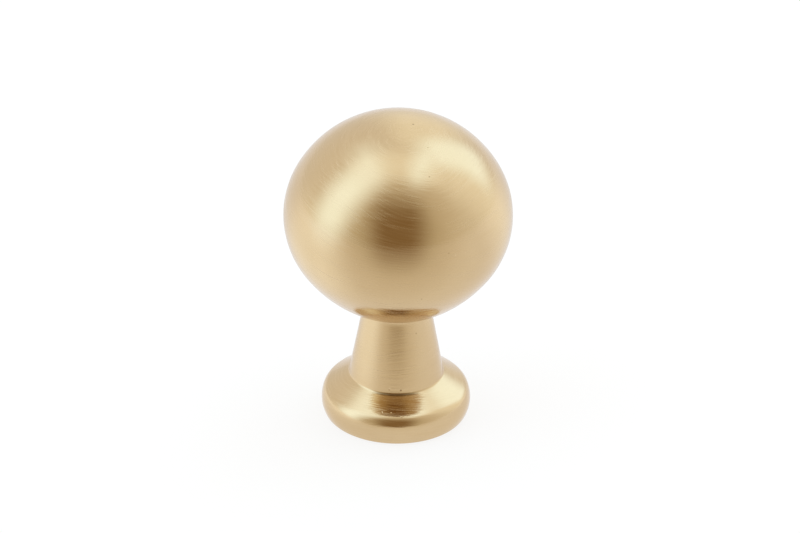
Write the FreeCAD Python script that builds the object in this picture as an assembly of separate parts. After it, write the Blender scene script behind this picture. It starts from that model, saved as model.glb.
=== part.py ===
import FreeCAD, Part
import math
import os

# Cabinet knob: a ball-shaped head, a short stem that widens towards a rounded foot, all one
# turned piece, with a blind tapped hole in the flat back of the foot for the fixing screw.
# Lengths are in millimetres and angles in degrees. The origin is the centre of the mounting
# face, and +Z runs along the knob's axis, out through the head.

# Overall sizes
overall_height = 43.2  # mounting face to the top of the crown
head_diameter = 30.0  # widest circle of the head
foot_diameter = 19.9  # widest circle of the foot

# Head: arcs that leave its widest circle upwards and downwards, tangent to one another
shoulder_radius = 12.0
shoulder_sweep = 28.0  # from the widest circle up to where the crown begins
flank_radius = 12.2
flank_sweep = 35.0  # from the widest circle down to where the underside begins
underside_radius = 18.8

# Stem: a straight cone between the head's underside and the top of the foot
neck_diameter = 8.9
stem_base_diameter = 12.6
neck_fillet = 0.5
stem_base_fillet = 0.4

# Foot: a bulged wall that turns over a soft edge into a cone, which rises to the stem
foot_widest_height = 1.76  # mounting face to the foot's widest circle
foot_wall_radius = 3.8
foot_wall_sweep = 20.0  # from the widest circle up to where the edge begins
foot_edge_radius = 1.8
foot_cone_slope = 33.2  # from the horizontal
foot_rim_fillet = 0.2  # where the wall meets the mounting face

# Tapped hole for a 4 mm machine screw, at its tapping size
tapping_diameter = 3.3
hole_depth = 12.0  # mounting face to the end of the full diameter
drill_point_angle = 118.0
countersink_diameter = 4.8
countersink_angle = 90.0

# The section is drawn in the upright plane through +X
section_plane = Part.Plane(FreeCAD.Vector(0, 0, 0), FreeCAD.Vector(0, -1, 0))


def point(radius, height):
    """A point of the section, at a distance from the axis and a height above the mounting face."""
    return FreeCAD.Vector(radius, 0, height)


def on_circle(centre, radius, angle):
    """The point of a circle in the section at an angle above the horizontal."""
    turn = math.radians(angle)
    return centre + FreeCAD.Vector(radius * math.cos(turn), 0, radius * math.sin(turn))


def arc(centre, radius, start, end):
    """A circular edge of the section between two angles above the horizontal."""
    corners = [on_circle(centre, radius, angle) for angle in (start, (start + end) / 2, end)]
    return Part.Arc(*corners).toShape()


def line(start, end):
    """A straight edge of the section."""
    return Part.LineSegment(start, end).toShape()


def next_centre(centre, radius, angle, next_radius):
    """Centre of the arc that carries on from another one, tangent to it, at an angle."""
    return on_circle(centre, radius - next_radius, angle)


def height_on(centre, radius, distance, side):
    """Height of a circle's upper (side 1) or lower (side -1) half at a distance from the axis."""
    return centre.z + side * math.sqrt(radius**2 - (distance - centre.x) ** 2)


def angle_of(centre, target):
    """Angle above the horizontal at which a point is seen from a circle's centre."""
    return math.degrees(math.atan2(target.z - centre.z, target.x - centre.x))


def rounded(first, second, corner, radius):
    """Two edges of the section that meet in a corner, with the arc that rounds it between them."""
    rounding = Part.ChFi2d.FilletAPI(first, second, section_plane)
    rounding.perform(radius)
    fillet, first, second = rounding.result(corner)
    return first, fillet, second


def turned(edges):
    """The solid that a closed section sweeps in one turn about the knob's axis."""
    section = Part.Face(Part.Wire(edges))
    return section.revolve(FreeCAD.Vector(0, 0, 0), FreeCAD.Vector(0, 0, 1), 360)


# Crown: its arc ends level on the axis, so its centre lies on the axis
head_radius = head_diameter / 2
crown_radius = shoulder_radius + (head_radius - shoulder_radius) / math.cos(math.radians(shoulder_sweep))
crown_centre = point(0, overall_height - crown_radius)
shoulder_centre = next_centre(crown_centre, crown_radius, shoulder_sweep, shoulder_radius)
widest_height = shoulder_centre.z

# Underside of the head, down to the neck
flank_centre = point(head_radius - flank_radius, widest_height)
underside_centre = next_centre(flank_centre, flank_radius, -flank_sweep, underside_radius)
neck_radius = neck_diameter / 2
neck = point(neck_radius, height_on(underside_centre, underside_radius, neck_radius, -1))

# Foot, from the mounting face up to the corner where the stem stands on it
wall_start = -math.degrees(math.asin(foot_widest_height / foot_wall_radius))
wall_centre = point(foot_diameter / 2 - foot_wall_radius, foot_widest_height)
foot_rim = on_circle(wall_centre, foot_wall_radius, wall_start)
edge_centre = next_centre(wall_centre, foot_wall_radius, foot_wall_sweep, foot_edge_radius)
edge_end = 90 - foot_cone_slope
cone_start = on_circle(edge_centre, foot_edge_radius, edge_end)
stem_base_radius = stem_base_diameter / 2
cone_rise = (cone_start.x - stem_base_radius) * math.tan(math.radians(foot_cone_slope))
stem_base = point(stem_base_radius, cone_start.z + cone_rise)


def knob_blank():
    """Head, stem and foot as one solid, before the hole is drilled."""
    face_centre = point(0, 0)
    crown_top = point(0, overall_height)

    face = line(face_centre, foot_rim)
    wall = arc(wall_centre, foot_wall_radius, wall_start, foot_wall_sweep)
    edge = arc(edge_centre, foot_edge_radius, foot_wall_sweep, edge_end)
    cone = line(cone_start, stem_base)
    stem = line(stem_base, neck)
    underside = arc(underside_centre, underside_radius, angle_of(underside_centre, neck), -flank_sweep)
    flank = arc(flank_centre, flank_radius, -flank_sweep, 0)
    shoulder = arc(shoulder_centre, shoulder_radius, 0, shoulder_sweep)
    crown = arc(crown_centre, crown_radius, shoulder_sweep, 90)
    axis = line(crown_top, face_centre)

    face, rim_round, wall = rounded(face, wall, foot_rim, foot_rim_fillet)
    cone, base_round, stem = rounded(cone, stem, stem_base, stem_base_fillet)
    stem, neck_round, underside = rounded(stem, underside, neck, neck_fillet)

    foot_edges = [face, rim_round, wall, edge, cone]
    stem_edges = [base_round, stem, neck_round]
    head_edges = [underside, flank, shoulder, crown]
    return turned(foot_edges + stem_edges + head_edges + [axis])


def tapped_hole():
    """What the drill and the countersink take out of the foot and the stem."""
    drill_radius = tapping_diameter / 2
    mouth_radius = countersink_diameter / 2
    sink_depth = (mouth_radius - drill_radius) / math.tan(math.radians(countersink_angle / 2))
    point_length = drill_radius / math.tan(math.radians(drill_point_angle / 2))
    corners = [
        point(0, 0),
        point(mouth_radius, 0),
        point(drill_radius, sink_depth),
        point(drill_radius, hole_depth),
        point(0, hole_depth + point_length),
    ]
    return turned([line(here, there) for here, there in zip(corners, corners[1:] + corners[:1])])


knob = knob_blank().cut(tapped_hole())

os.makedirs("parts", exist_ok=True)
knob.exportStep("parts/knob.step")
print(f"knob: {len(knob.Solids)} solid, valid {knob.isValid()}, {knob.Volume / 1000:.2f} cm3")
print(f"heights: stem base {stem_base.z:.2f}, neck {neck.z:.2f}, widest circle {widest_height:.2f}")
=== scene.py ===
import math

import bmesh
import bpy
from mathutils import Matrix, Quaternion, Vector


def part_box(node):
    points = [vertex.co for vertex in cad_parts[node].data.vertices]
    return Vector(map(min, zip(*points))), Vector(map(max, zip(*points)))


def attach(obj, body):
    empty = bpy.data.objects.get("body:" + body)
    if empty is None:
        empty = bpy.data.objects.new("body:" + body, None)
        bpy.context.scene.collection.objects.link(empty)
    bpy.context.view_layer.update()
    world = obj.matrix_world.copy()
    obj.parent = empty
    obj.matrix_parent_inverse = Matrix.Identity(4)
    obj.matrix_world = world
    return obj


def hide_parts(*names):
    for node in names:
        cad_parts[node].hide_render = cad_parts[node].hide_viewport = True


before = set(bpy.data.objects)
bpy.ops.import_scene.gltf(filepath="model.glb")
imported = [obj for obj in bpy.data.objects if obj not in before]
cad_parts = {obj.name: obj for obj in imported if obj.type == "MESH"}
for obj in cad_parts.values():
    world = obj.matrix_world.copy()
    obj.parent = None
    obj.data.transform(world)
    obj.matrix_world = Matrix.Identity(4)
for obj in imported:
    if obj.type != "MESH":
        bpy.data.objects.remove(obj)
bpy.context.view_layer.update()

# Satin brass cabinet knob on a white table. Sizes in the dictionaries are in
# millimetres and degrees, the scene itself is in metres.
mm = 0.001
headHeight = 29.4  # of the head's widest circle
mergeDistance = 1e-4
print("frame loaded")


def direction(azimuth, elevation):
    # unit vector from the knob, azimuth 0 towards the camera, 90 to its right
    a, e = math.radians(azimuth), math.radians(elevation)
    return Vector((math.sin(a) * math.cos(e), -math.cos(a) * math.cos(e), math.sin(e)))


def newMaterial(name):
    material = bpy.data.materials.new(name)
    material.use_nodes = True
    material.node_tree.nodes.clear()
    return material, material.node_tree


def newGroup(name, inputs, outputs):
    group = bpy.data.node_groups.new(name, "ShaderNodeTree")
    for way, sockets in (("INPUT", inputs), ("OUTPUT", outputs)):
        for socket, kind in sockets.items():
            group.interface.new_socket(socket, in_out=way, socket_type="NodeSocket" + kind)
    return group


def addNode(tree, kind, inputs=None, **settings):
    # an input is a plain value, or another node's output to link from
    node = tree.nodes.new("ShaderNode" + kind if not kind.startswith("NodeGroup") else kind)
    for name, value in settings.items():
        setattr(node, name, value)
    for socket, value in (inputs or {}).items():
        if isinstance(value, bpy.types.NodeSocket):
            tree.links.new(value, node.inputs[socket])
        else:
            node.inputs[socket].default_value = value
    return node


def calc(tree, operation, *values):
    return addNode(tree, "Math", dict(enumerate(values)), operation=operation).outputs["Value"]


def vectorCalc(tree, operation, *values):
    node = addNode(tree, "VectorMath", dict(enumerate(values)), operation=operation)
    return node.outputs["Value" if operation in ("DOT_PRODUCT", "LENGTH") else "Vector"]


def scaled(tree, vector, factor):
    return addNode(tree, "VectorMath", {0: vector, "Scale": factor}, operation="SCALE").outputs["Vector"]


def fade(tree, value, gone, full):
    # rises smoothly from 0 where the value is gone to 1 where it is full
    limits = {"Value": value, "From Min": gone, "From Max": full}
    return addNode(tree, "MapRange", limits, interpolation_type="SMOOTHSTEP").outputs["Result"]


def blendColours(tree, factor, first, second):
    inputs = {"Factor": factor, "A": first, "B": second}
    return addNode(tree, "Mix", inputs, data_type="RGBA").outputs["Result"]


# Camera, as the photograph was taken
cameraSetup = {
    "elevation": 29.63,
    "distance": 526.4,
    "lens": 180.0,
    "sensor": 36.0,
    "aimRight": 0.324,
    "aimHeight": 21.58,
    "roll": 0.74,
    "clip": (0.01, 50),  # metres
}


def makeCamera(c):
    data = bpy.data.cameras.new("camera")
    data.lens, data.sensor_width = c["lens"], c["sensor"]
    data.clip_start, data.clip_end = c["clip"]
    camera = bpy.data.objects.new("camera", data)
    bpy.context.collection.objects.link(camera)
    aim = Vector((c["aimRight"], 0, c["aimHeight"])) * mm
    back = direction(0, c["elevation"])
    camera.location = aim + back * c["distance"] * mm
    camera.rotation_mode = "QUATERNION"
    roll = Quaternion((0, 0, 1), math.radians(c["roll"]))
    camera.rotation_quaternion = back.to_track_quat("Z", "Y") @ roll
    bpy.context.scene.camera = camera


makeCamera(cameraSetup)
print("camera placed")


# Knob: the outline runs from the hole's mouth, over foot, stem and head, to the crown
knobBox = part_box("knob")
knobShape = {
    "height": knobBox[1].z / mm,
    "headRadius": knobBox[1].x / mm,
    "shoulderRadius": 12.0,
    "shoulderSweep": 28.0,
    "flankRadius": 12.2,
    "flankSweep": 35.0,
    "undersideRadius": 18.8,
    "neckRadius": 4.45,
    "neckFillet": 0.5,
    "stemBaseRadius": 6.3,
    "stemBaseFillet": 0.4,
    "footRadius": 9.95,
    "footWidestHeight": 1.76,
    "footWallRadius": 3.8,
    "footWallSweep": 20.0,
    "footEdgeRadius": 1.8,
    "footConeSlope": 33.2,
    "rimFillet": 0.2,
    "mouthRadius": 2.4,
    "segments": 256,
    "stepLength": 0.4,
    "sharpAngle": 30.0,
}
fewestArcSteps = 5


def flat(radius, height):
    # a point of the outline, which lies in the plane through X and Z
    return Vector((radius, 0, height))


def towards(angle):
    return flat(math.cos(math.radians(angle)), math.sin(math.radians(angle)))


def angleOf(vector):
    return math.degrees(math.atan2(vector.z, vector.x))


def underCircle(centre, radius, distance):
    # point of a circle's lower half, at a distance from the axis
    return flat(distance, centre.z - math.sqrt(radius**2 - (distance - centre.x) ** 2))


def filletCentre(centre, reach, start, along):
    # where a line from start leaves a circle of that reach
    gap = start - centre
    middle = gap.dot(along)
    return start + along * (math.sqrt(middle**2 - gap.length_squared + reach**2) - middle)


def knobOutline(k):
    # lists the arcs as (centre, start angle, end angle) and the lines as their end point
    crownRadius = k["shoulderRadius"] + (k["headRadius"] - k["shoulderRadius"]) / math.cos(
        math.radians(k["shoulderSweep"])
    )
    crownCentre = flat(0, k["height"] - crownRadius)
    shoulderCentre = crownCentre + towards(k["shoulderSweep"]) * (crownRadius - k["shoulderRadius"])
    flankCentre = flat(k["headRadius"] - k["flankRadius"], shoulderCentre.z)
    undersideCentre = flankCentre + towards(-k["flankSweep"]) * (k["flankRadius"] - k["undersideRadius"])
    neck = underCircle(undersideCentre, k["undersideRadius"], k["neckRadius"])

    wallCentre = flat(k["footRadius"] - k["footWallRadius"], k["footWidestHeight"])
    edgeCentre = wallCentre + towards(k["footWallSweep"]) * (k["footWallRadius"] - k["footEdgeRadius"])
    coneAngle = 90 - k["footConeSlope"]
    coneOut = towards(coneAngle)
    coneStart = edgeCentre + coneOut * k["footEdgeRadius"]
    coneRise = (coneStart.x - k["stemBaseRadius"]) * math.tan(math.radians(k["footConeSlope"]))
    stemBase = flat(k["stemBaseRadius"], coneStart.z + coneRise)

    # the rounding under the foot lies inside the wall's circle, a fillet's height above the face
    rimCentre = flat(0, k["rimFillet"])
    rimReach = k["footWallRadius"] - k["rimFillet"]
    rimCentre.x = wallCentre.x + math.sqrt(rimReach**2 - (wallCentre.z - rimCentre.z) ** 2)
    wallStart = angleOf(rimCentre - wallCentre)

    up = (neck - stemBase).normalized()
    stemAngle = angleOf(up) - 90
    out = towards(stemAngle)
    baseCentre = stemBase + (out + up * (1 - out.dot(coneOut)) / up.dot(coneOut)) * k["stemBaseFillet"]
    neckCentre = filletCentre(
        undersideCentre, k["undersideRadius"] + k["neckFillet"], neck + out * k["neckFillet"], -up
    )
    undersideStart = angleOf(neckCentre - undersideCentre)
    return [
        (rimCentre, -90, wallStart),
        (wallCentre, wallStart, k["footWallSweep"]),
        (edgeCentre, k["footWallSweep"], coneAngle),
        baseCentre - coneOut * k["stemBaseFillet"],
        (baseCentre, coneAngle, stemAngle),
        neckCentre - out * k["neckFillet"],
        (neckCentre, stemAngle, undersideStart),
        (undersideCentre, undersideStart, -k["flankSweep"]),
        (flankCentre, -k["flankSweep"], 0),
        (shoulderCentre, 0, k["shoulderSweep"]),
        (crownCentre, k["shoulderSweep"], 90),
    ]


def drawChain(bm, start, moves, stepLength):
    # returns the points in order, along the arcs and lines from the start
    first = tip = bm.verts.new(start)
    for move in moves:
        if isinstance(move, tuple):
            centre, begin, end = move
            length = (tip.co - centre).length * math.radians(abs(end - begin))
            steps = max(fewestArcSteps, math.ceil(length / stepLength))
            angle = math.radians(end - begin)
            turned = bmesh.ops.spin(bm, geom=[tip], cent=centre, axis=(0, -1, 0), angle=angle, steps=steps)
            tip = next(v for v in turned["geom_last"] if isinstance(v, bmesh.types.BMVert))
        else:
            steps = math.ceil((move - tip.co).length / stepLength)
            step = (move - tip.co) / steps
            for _ in range(steps):
                tip = bmesh.ops.extrude_vert_indiv(bm, verts=[tip])["verts"][0]
                tip.co += step
    points, passed = [first], set()
    while ahead := [e for e in points[-1].link_edges if e not in passed]:
        passed.add(ahead[0])
        points.append(ahead[0].other_vert(points[-1]))
    return points


# Tapped hole: a countersunk mouth, a metric thread and the drilled end beyond it
holeShape = {
    "boreRadius": 1.65,
    "threadRadius": 2.0,
    "pitch": 0.7,
    # one pitch of the thread: height from its start, and how deep it is cut there
    "tooth": [(0, 0), (0.2085, 0), (0.31, 0.5), (0.4105, 1), (0.498, 1), (0.599, 0.5)],
    "turns": 17,
    "segments": 96,
    "threadStarts": 0.45,
    "fadeStarts": 9.4,
    "fadeEnds": 10.4,
    "threadEnds": 10.6,
    "boreEnd": 12.0,
    "pointAngle": 118.0,
    "ringGap": 0.05,
    "ringReach": 0.1,
}


def cutThread(bm, h, mouthRadius):
    # a row of teeth goes once round while it climbs one pitch, so each tooth meets the next
    teeth = []
    for turn in range(h["turns"] + 1):
        for climb, depth in h["tooth"]:
            radius = h["boreRadius"] + depth * (h["threadRadius"] - h["boreRadius"])
            teeth.append(bm.verts.new(flat(radius, (turn - 1) * h["pitch"] + climb)))
    rows = [bm.edges.new(pair) for pair in zip(teeth, teeth[1:])]
    olderFaces = set(bm.faces)
    bmesh.ops.spin(
        bm,
        geom=teeth + rows,
        cent=(0, 0, 0),
        axis=(0, 0, 1),
        angle=math.tau,
        steps=h["segments"],
        dvec=(0, 0, h["pitch"] / h["segments"]),
    )
    faces = [f for f in bm.faces if f not in olderFaces]
    points = list({v for f in faces for v in f.verts})
    for point in points:
        depth = math.hypot(point.co.x, point.co.y) - h["boreRadius"]
        gone = min(1, max(0, (point.co.z - h["fadeStarts"]) / (h["fadeEnds"] - h["fadeStarts"])))
        wanted = max(mouthRadius - point.co.z, h["boreRadius"] + depth * (1 - gone))
        stretch = wanted / (h["boreRadius"] + depth)
        point.co.x *= stretch
        point.co.y *= stretch
    bmesh.ops.remove_doubles(bm, verts=points, dist=mergeDistance)
    for height, up in ((h["threadStarts"], -1), (h["threadEnds"], 1)):
        faces = [f for f in bm.faces if f not in olderFaces]
        edges = {e for f in faces for e in f.edges}
        points = {v for f in faces for v in f.verts}
        bmesh.ops.bisect_plane(
            bm,
            geom=faces + list(edges) + list(points),
            plane_co=(0, 0, height),
            plane_no=(0, 0, up),
            clear_outer=True,
        )


def joinRings(bm, height, reach):
    # closes the gap between the two open rings that lie near a height
    openEdges = [e for e in bm.edges if e.is_boundary]
    rings = [e for e in openEdges if all(abs(v.co.z - height) < reach for v in e.verts)]
    bmesh.ops.bridge_loops(bm, edges=rings)


def makeKnob(k, h):
    bm = bmesh.new()
    grain = bm.verts.layers.float.new("grain")
    outline = knobOutline(k)
    sinkTop = flat(h["threadRadius"], k["mouthRadius"] - h["threadRadius"])
    outside = drawChain(
        bm, sinkTop, [flat(k["mouthRadius"], 0), flat(outline[0][0].x, 0), *outline], k["stepLength"]
    )
    run = 0
    for before, point in zip(outside, outside[1:]):
        run += (point.co - before.co).length
        point[grain] = run
    outside[-1].co.x = 0
    pointLength = h["boreRadius"] / math.tan(math.radians(h["pointAngle"] / 2))
    boreStart = flat(h["boreRadius"], h["threadEnds"] + h["ringGap"])
    drilled = [flat(h["boreRadius"], h["boreEnd"]), boreStart]
    drawChain(bm, flat(0, h["boreEnd"] + pointLength), drilled, k["stepLength"])
    bmesh.ops.spin(
        bm,
        geom=bm.verts[:] + bm.edges[:],
        cent=(0, 0, 0),
        axis=(0, 0, 1),
        angle=math.tau,
        steps=k["segments"],
        use_merge=True,
    )
    bmesh.ops.remove_doubles(bm, verts=bm.verts, dist=mergeDistance)
    cutThread(bm, h, k["mouthRadius"])
    joinRings(bm, h["threadStarts"], h["ringReach"])
    joinRings(bm, h["threadEnds"], h["ringReach"])
    bmesh.ops.recalc_face_normals(bm, faces=bm.faces)
    bmesh.ops.scale(bm, vec=(mm, mm, mm), verts=bm.verts)
    for face in bm.faces:
        face.smooth = True
    mesh = bpy.data.meshes.new("brassKnob")
    openEdges = sum(not e.is_manifold for e in bm.edges)
    bm.to_mesh(mesh)
    bm.free()
    mesh.set_sharp_from_angle(angle=math.radians(k["sharpAngle"]))
    print("knob shaped:", len(mesh.polygons), "faces,", openEdges, "open edges")
    knob = bpy.data.objects.new("brassKnob", mesh)
    bpy.context.collection.objects.link(knob)
    return knob


brassKnob = makeKnob(knobShape, holeShape)


# Satin brass, brushed round and round: round the stem's axis below, and round an
# axis that leans a little to the front right on the head. Small pits are strewn over
# it, closer together towards the foot.
brass = {
    "paleColour": (0.705, 0.53, 0.315, 1),
    "deepColour": (0.61, 0.445, 0.245, 1),
    "roughness": 0.18,
    "footRoughness": 0.13,
    "footTop": (6.6, 5.4),
    "lineRoughness": 0.85,
    "lineDepth": 0.012,
    "lineSets": [
        {"share": 0.55, "spacing": 0.16, "length": 5.0, "shift": 0.0},
        {"share": 0.35, "spacing": 0.28, "length": 8.0, "shift": 40.0},
        {"share": 0.10, "spacing": 0.7, "length": 10.0, "shift": 80.0},
    ],
    "lineContrast": 1.3,
    "wander": 4.5,
    "wanderSize": 11.0,
    "leanAngle": 12.5,
    "leanTowards": 42.0,
    "leanStarts": 16.5,
    "leanFull": 20.0,
    "stemRing": 7.0,  # radius at which the noise is read round the stem, and round the head
    "headRing": 12.0,
    "headArc": 14.0,
    "cloudSize": 4.5,
    "cloudContrast": 0.6,
    # painted shade in the front of the crease where the stem stands on the foot
    "creaseHeight": 5.68,
    "creaseReach": 0.2,
    "paintedCreaseShade": 0.75,
    "creaseEnds": (-5.5, -6.2),
    # dark colour of the pits and dark nicks, and of the painted crease shade
    "dirtAndShadeColour": (0.12, 0.07, 0.03, 1),
    "pitRadius": 0.13,
    "pitDepth": 0.012,
    "pitGapOnHead": 2.6,
    "pitGapOnFoot": 1.3,
    "closePitsBelow": (12.0, 9.0),
    "pitTone": 0.3,
    "markCore": 0.2,  # share of a pit's or nick's radius that is at its full depth
    "toneInShade": 1.5,
    "toneInDirt": -0.6,
}
# Marks left by handling. Each is where a line from a level on the axis comes out of the
# brass: the line's turn from the front to the right, and its rise. Then its radius, and
# how much darker (-1) or paler (1) than the brass it is.
nicks = [
    {"level": headHeight, "turn": 68, "rise": 82, "radius": 0.2, "tone": -0.8},
    {"level": headHeight, "turn": 24, "rise": 47, "radius": 0.15, "tone": -0.4},
    {"level": headHeight, "turn": 37, "rise": 64, "radius": 0.13, "tone": -0.4},
    {"level": headHeight, "turn": 13, "rise": -19, "radius": 0.14, "tone": -0.6},
    {"level": headHeight, "turn": 26, "rise": 7, "radius": 0.13, "tone": -0.5},
    {"level": headHeight, "turn": 30, "rise": 5, "radius": 0.17, "tone": 1.0},
    {"level": headHeight, "turn": -11, "rise": -38, "radius": 0.3, "tone": 1.0},
    {"level": 13.8, "turn": 32, "rise": 0, "radius": 0.14, "tone": -0.5},
    {"level": 6.4, "turn": -8, "rise": 0, "radius": 0.2, "tone": 1.0},
    {"level": 6.3, "turn": 6, "rise": 0, "radius": 0.18, "tone": -0.6},
    {"level": 4.2, "turn": -12, "rise": 0, "radius": 0.15, "tone": 0.3},
    {"level": 3.9, "turn": 5, "rise": 0, "radius": 0.16, "tone": 0.4},
]
clearOfHole = 3.0  # how far from the axis such a line starts


def placeOnKnob(knob, mark):
    away = direction(mark["turn"], mark["rise"])
    start = (Vector((0, 0, mark["level"])) + away * clearOfHole) * mm
    return knob.ray_cast(start, away)[1] / mm


def brushGroup(b):
    # height of the brush lines, from a unit vector round the axis and the way across them
    inputs = {"Around": "Vector", "Across": "Float", "Radius": "Float"}
    group = newGroup("brushLines", inputs, {"Height": "Float"})
    given = addNode(group, "NodeGroupInput").outputs
    ring = scaled(group, given["Around"], given["Radius"])
    upwards = addNode(group, "CombineXYZ", {"Z": given["Across"]}).outputs["Vector"]
    place = vectorCalc(group, "ADD", ring, upwards)
    height = None
    for lines in b["lineSets"]:
        # each set bends its own way, so the sets cross at slight angles
        shifted = vectorCalc(group, "ADD", place, (lines["shift"], 0, 0))
        drift = addNode(group, "TexNoise", {"Vector": shifted, "Scale": 1 / b["wanderSize"], "Detail": 0.0})
        across = calc(group, "MULTIPLY_ADD", drift.outputs["Fac"], b["wander"], given["Across"])
        squeezed = calc(group, "MULTIPLY_ADD", across, lines["length"] / lines["spacing"], lines["shift"])
        climb = addNode(group, "CombineXYZ", {"Z": squeezed}).outputs["Vector"]
        along = vectorCalc(group, "ADD", ring, climb)
        noise = addNode(group, "TexNoise", {"Vector": along, "Scale": 1 / lines["length"], "Detail": 2.0})
        part = calc(group, "MULTIPLY", noise.outputs["Fac"], lines["share"])
        height = part if height is None else calc(group, "ADD", height, part)
    addNode(group, "NodeGroupOutput", {"Height": height})
    return group


def pitGroup(b, knob, marks):
    # how deep the pits and nicks go at a place, and how much they darken or pale the brass
    group = newGroup("pits", {"Place": "Vector", "Level": "Float"}, {"Depth": "Float", "Tone": "Float"})
    given = addNode(group, "NodeGroupInput").outputs
    depths = []
    for gap in (b["pitGapOnHead"], b["pitGapOnFoot"]):
        cells = addNode(group, "TexVoronoi", {"Vector": given["Place"], "Scale": 1 / gap})
        away = calc(group, "MULTIPLY", cells.outputs["Distance"], gap)
        depths.append(fade(group, away, b["pitRadius"], b["pitRadius"] * b["markCore"]))
    onFoot = fade(group, given["Level"], *b["closePitsBelow"])
    depth = addNode(group, "Mix", {"Factor": onFoot, "A": depths[0], "B": depths[1]}).outputs["Result"]
    tone = calc(group, "MULTIPLY", depth, b["pitTone"])
    for mark in marks:
        gap = vectorCalc(group, "SUBTRACT", given["Place"], placeOnKnob(knob, mark))
        away = vectorCalc(group, "LENGTH", gap)
        inside = fade(group, away, mark["radius"], mark["radius"] * b["markCore"])
        depth = calc(group, "ADD", depth, inside)
        tone = calc(group, "MULTIPLY_ADD", inside, mark["tone"], tone)
    addNode(group, "NodeGroupOutput", {"Depth": depth, "Tone": tone})
    return group


def brassMaterial(b, knob, marks):
    material, tree = newMaterial("satinBrass")
    place = scaled(tree, addNode(tree, "TexCoord").outputs["Object"], 1 / mm)
    split = addNode(tree, "SeparateXYZ", {"Vector": place}).outputs
    level = split["Z"]
    lines = brushGroup(b)

    flatPlace = vectorCalc(tree, "MULTIPLY", place, (1, 1, 0))
    turned = addNode(tree, "Group", node_tree=lines)
    tree.links.new(vectorCalc(tree, "NORMALIZE", flatPlace), turned.inputs["Around"])
    grain = addNode(tree, "Attribute", attribute_name="grain").outputs["Fac"]
    tree.links.new(grain, turned.inputs["Across"])
    turned.inputs["Radius"].default_value = b["stemRing"]

    lean = direction(b["leanTowards"], 90 - b["leanAngle"]).to_track_quat("Z", "Y").to_euler()
    leaning = addNode(
        tree,
        "Mapping",
        {"Vector": place, "Location": (0, 0, headHeight), "Rotation": lean},
        vector_type="TEXTURE",
    ).outputs["Vector"]
    flatLeaning = vectorCalc(tree, "MULTIPLY", leaning, (1, 1, 0))
    leaningLevel = addNode(tree, "SeparateXYZ", {"Vector": leaning}).outputs["Z"]
    polar = calc(tree, "ARCTAN2", vectorCalc(tree, "LENGTH", flatLeaning), leaningLevel)
    head = addNode(tree, "Group", node_tree=lines)
    tree.links.new(vectorCalc(tree, "NORMALIZE", flatLeaning), head.inputs["Around"])
    tree.links.new(calc(tree, "MULTIPLY", polar, b["headArc"]), head.inputs["Across"])
    head.inputs["Radius"].default_value = b["headRing"]

    onHead = fade(tree, level, b["leanStarts"], b["leanFull"])
    brushed = addNode(
        tree, "Mix", {"Factor": onHead, "A": turned.outputs["Height"], "B": head.outputs["Height"]}
    ).outputs["Result"]

    pits = addNode(tree, "Group", node_tree=pitGroup(b, knob, marks))
    tree.links.new(place, pits.inputs["Place"])
    tree.links.new(level, pits.inputs["Level"])

    clouds = addNode(tree, "TexNoise", {"Vector": place, "Scale": 1 / b["cloudSize"], "Detail": 3.0})
    cloudy = calc(tree, "MULTIPLY_ADD", clouds.outputs["Fac"], b["cloudContrast"], -b["cloudContrast"] / 2)
    streaks = calc(tree, "MULTIPLY_ADD", brushed, b["lineContrast"], 0.5 - b["lineContrast"] / 2)
    unmarked = calc(tree, "ADD", streaks, cloudy)
    shade = calc(tree, "ADD", unmarked, calc(tree, "MULTIPLY", pits.outputs["Tone"], b["toneInShade"]))
    colour = blendColours(tree, shade, b["deepColour"], b["paleColour"])
    # painted shade: the front of the crease is darkened towards the dark colour that pits and dark nicks
    # also use
    fromCrease = calc(tree, "ABSOLUTE", calc(tree, "SUBTRACT", level, b["creaseHeight"]))
    inFront = fade(tree, split["Y"], *b["creaseEnds"])
    inCrease = calc(tree, "MULTIPLY", fade(tree, fromCrease, b["creaseReach"], 0.0), inFront)
    paintedShade = calc(tree, "MULTIPLY", inCrease, b["paintedCreaseShade"])
    dark = calc(tree, "MULTIPLY_ADD", pits.outputs["Tone"], b["toneInDirt"], paintedShade)
    colour = blendColours(tree, dark, colour, b["dirtAndShadeColour"])
    onFoot = fade(tree, level, *b["footTop"])
    smoothness = calc(tree, "MULTIPLY", onFoot, b["footRoughness"] - b["roughness"])
    smoothest = b["roughness"] - b["lineRoughness"] / 2
    lineRough = calc(tree, "MULTIPLY_ADD", brushed, b["lineRoughness"], smoothest)
    rough = calc(tree, "ADD", lineRough, smoothness)

    lineBump = addNode(tree, "Bump", {"Strength": 1.0, "Distance": b["lineDepth"] * mm, "Height": brushed})
    bump = addNode(
        tree,
        "Bump",
        {
            "Strength": 1.0,
            "Distance": b["pitDepth"] * mm,
            "Height": calc(tree, "MULTIPLY", pits.outputs["Depth"], -1),
            "Normal": lineBump.outputs["Normal"],
        },
    )
    shader = addNode(
        tree,
        "BsdfPrincipled",
        {"Base Color": colour, "Metallic": 1.0, "Roughness": rough, "Normal": bump.outputs["Normal"]},
    )
    addNode(tree, "OutputMaterial", {"Surface": shader.outputs["BSDF"]})
    return material


bpy.context.view_layer.update()
brassKnob.data.materials.append(brassMaterial(brass, brassKnob, nicks))
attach(brassKnob, "root")
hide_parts("knob")
print("brass done")


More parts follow.
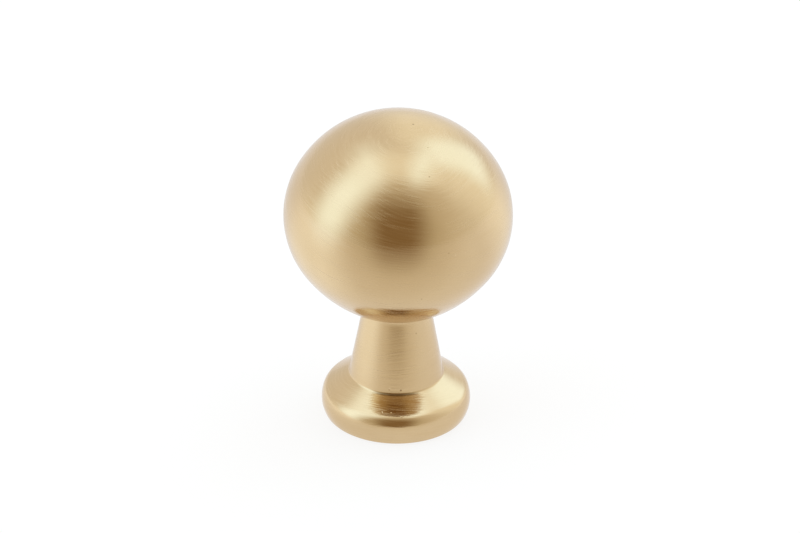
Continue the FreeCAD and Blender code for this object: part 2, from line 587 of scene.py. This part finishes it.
# Studio: a pale room that is dim towards the camera, with one dark part in front and soft
# boxes and lit surfaces round the knob. Each part has a middle (azimuth, elevation), a turn,
# a size and how softly it fades at its sides, all in degrees as seen from the head.
room = {
    "dimAzimuth": 0.0,
    "dimElevation": 15.0,
    # angle from the middle of the dim part, and the room's colour there
    "shades": [
        (180, (0.85, 0.85, 0.85)),
        (110, (0.95, 0.95, 0.95)),
        (75, (0.9, 0.9, 0.85)),
        (50, (0.8, 0.75, 0.65)),
        (25, (0.6, 0.55, 0.4)),
        (0, (0.6, 0.5, 0.4)),
    ],
}
warmDark = (0.3, 0.2, 0.1)
softWhite = (1.15, 1.2, 1.2)
boxLight = (1.4, 1.7, 2.0)
studioParts = {
    "darkFront": {"at": (0, 20), "turn": 0, "size": (50, 65), "fade": (15, 20), "colour": warmDark},
    "ceiling": {"at": (180, 90), "turn": 0, "size": (80, 30), "fade": (10, 10), "colour": softWhite},
    "leftTable": {"at": (-90, -25), "turn": -15, "size": (60, 60), "fade": (20, 20), "colour": softWhite},
    "rightWall": {"at": (110, 15), "turn": 15, "size": (40, 90), "fade": (20, 20), "colour": softWhite},
    "backWall": {"at": (165, 35), "turn": 15, "size": (35, 60), "fade": (10, 20), "colour": softWhite},
    "leftBox": {"at": (-75, 30), "turn": 0, "size": (35, 70), "fade": (15, 20), "colour": boxLight},
    "rightBox": {"at": (130, 35), "turn": 0, "size": (30, 50), "fade": (10, 10), "colour": boxLight},
    "topLeftBox": {"at": (-100, 65), "turn": 20, "size": (45, 10), "fade": (20, 20), "colour": boxLight},
    "topRightBox": {"at": (100, 70), "turn": -20, "size": (40, 15), "fade": (15, 10), "colour": boxLight},
}


def partMask(tree, towardsPlace, p):
    # 1 inside the part's outline, fading at its sides, 0 elsewhere
    middle = direction(*p["at"])
    right = Quaternion(middle, math.radians(p["turn"])) @ direction(p["at"][0] + 90, 0)
    depth = vectorCalc(tree, "DOT_PRODUCT", towardsPlace, middle)
    masks = []
    for axis, size, soft in zip((right, middle.cross(right)), p["size"], p["fade"]):
        angle = calc(tree, "ARCTAN2", vectorCalc(tree, "DOT_PRODUCT", towardsPlace, axis), depth)
        outer, inner = math.radians(size / 2 + soft), math.radians(size / 2 - soft)
        masks.append(fade(tree, calc(tree, "ABSOLUTE", angle), outer, inner))
    return calc(tree, "MULTIPLY", *masks)


def studioGroup(r, parts):
    # the studio's colour in a direction from the knob's head
    group = newGroup("studio", {"Direction": "Vector"}, {"Colour": "Color"})
    towardsPlace = vectorCalc(group, "NORMALIZE", addNode(group, "NodeGroupInput").outputs["Direction"])
    facing = vectorCalc(group, "DOT_PRODUCT", towardsPlace, direction(r["dimAzimuth"], r["dimElevation"]))
    shades = addNode(group, "ValToRGB", {"Fac": calc(group, "MULTIPLY_ADD", facing, 0.5, 0.5)})
    ramp = shades.color_ramp
    ramp.interpolation = "B_SPLINE"
    while len(ramp.elements) < len(r["shades"]):
        ramp.elements.new(0.5)
    for stop, (angle, colour) in zip(ramp.elements, r["shades"]):
        stop.position = 0.5 + 0.5 * math.cos(math.radians(angle))
        stop.color = (*colour, 1)
    colour = shades.outputs["Color"]
    for part in parts.values():
        colour = blendColours(group, partMask(group, towardsPlace, part), colour, (*part["colour"], 1))
    addNode(group, "NodeGroupOutput", {"Colour": colour})
    return group


def makeRoom(studio):
    world = bpy.data.worlds.new("room")
    bpy.context.scene.world = world
    world.use_nodes = True
    tree = world.node_tree
    tree.nodes.clear()
    shade = addNode(tree, "Group", node_tree=studio)
    tree.links.new(addNode(tree, "TexCoord").outputs["Generated"], shade.inputs["Direction"])
    seen = addNode(tree, "LightPath").outputs["Is Camera Ray"]
    colour = blendColours(tree, seen, shade.outputs["Colour"], (1, 1, 1, 1))
    background = addNode(tree, "Background", {"Color": colour})
    addNode(tree, "OutputWorld", {"Surface": background.outputs["Background"]})


studio = studioGroup(room, studioParts)
makeRoom(studio)
print("studio lit")


# White table. What the camera and the metal see of it is partly its own light, so
# it is as white as the room and keeps a pale shadow. What the metal sees of it carries painted light and
# shade: the studio's colours as seen from the knob's head, dim towards the camera and lit where the soft
# boxes and lit parts are.
table = {
    "colour": (0.93, 0.9, 0.87, 1),
    "size": 20.0,
    "whiteness": 1.04,
    "ownLightToCamera": 0.78,
    "ownLightToMetal": 0.9,
    "glow": (1.08, 1.09, 1.15),
}


def tableMaterial(t, studio):
    material, tree = newMaterial("whiteTable")
    shade = addNode(tree, "Group", node_tree=studio)
    place = addNode(tree, "TexCoord").outputs["Object"]
    fromHead = vectorCalc(tree, "SUBTRACT", place, (0, 0, headHeight * mm))
    tree.links.new(fromHead, shade.inputs["Direction"])
    ray = addNode(tree, "LightPath").outputs
    white = (t["whiteness"], t["whiteness"], t["whiteness"], 1)
    # painted light and shade: the metal sees the studio's colours, as seen from the head, on the table
    paintedStudioLight = vectorCalc(tree, "MULTIPLY", shade.outputs["Colour"], t["glow"])
    glow = addNode(tree, "Emission", {"Color": blendColours(tree, ray["Is Camera Ray"], paintedStudioLight, white)})
    toMetal = calc(tree, "MAXIMUM", ray["Is Glossy Ray"], ray["Is Transmission Ray"])
    share = calc(
        tree,
        "MULTIPLY_ADD",
        ray["Is Camera Ray"],
        t["ownLightToCamera"],
        calc(tree, "MULTIPLY", toMetal, t["ownLightToMetal"]),
    )
    diffuse = addNode(tree, "BsdfDiffuse", {"Color": t["colour"]})
    mixed = addNode(
        tree, "MixShader", {"Fac": share, 1: diffuse.outputs["BSDF"], 2: glow.outputs["Emission"]}
    )
    addNode(tree, "OutputMaterial", {"Surface": mixed.outputs["Shader"]})
    return material


def makeTable(t, studio):
    bm = bmesh.new()
    bmesh.ops.create_grid(bm, x_segments=1, y_segments=1, size=t["size"] / 2)
    mesh = bpy.data.meshes.new("table")
    bm.to_mesh(mesh)
    bm.free()
    floor = bpy.data.objects.new("table", mesh)
    bpy.context.collection.objects.link(floor)
    mesh.materials.append(tableMaterial(t, studio))


makeTable(table, studio)
bpy.context.scene.view_settings.view_transform = "Standard"
print("table laid")
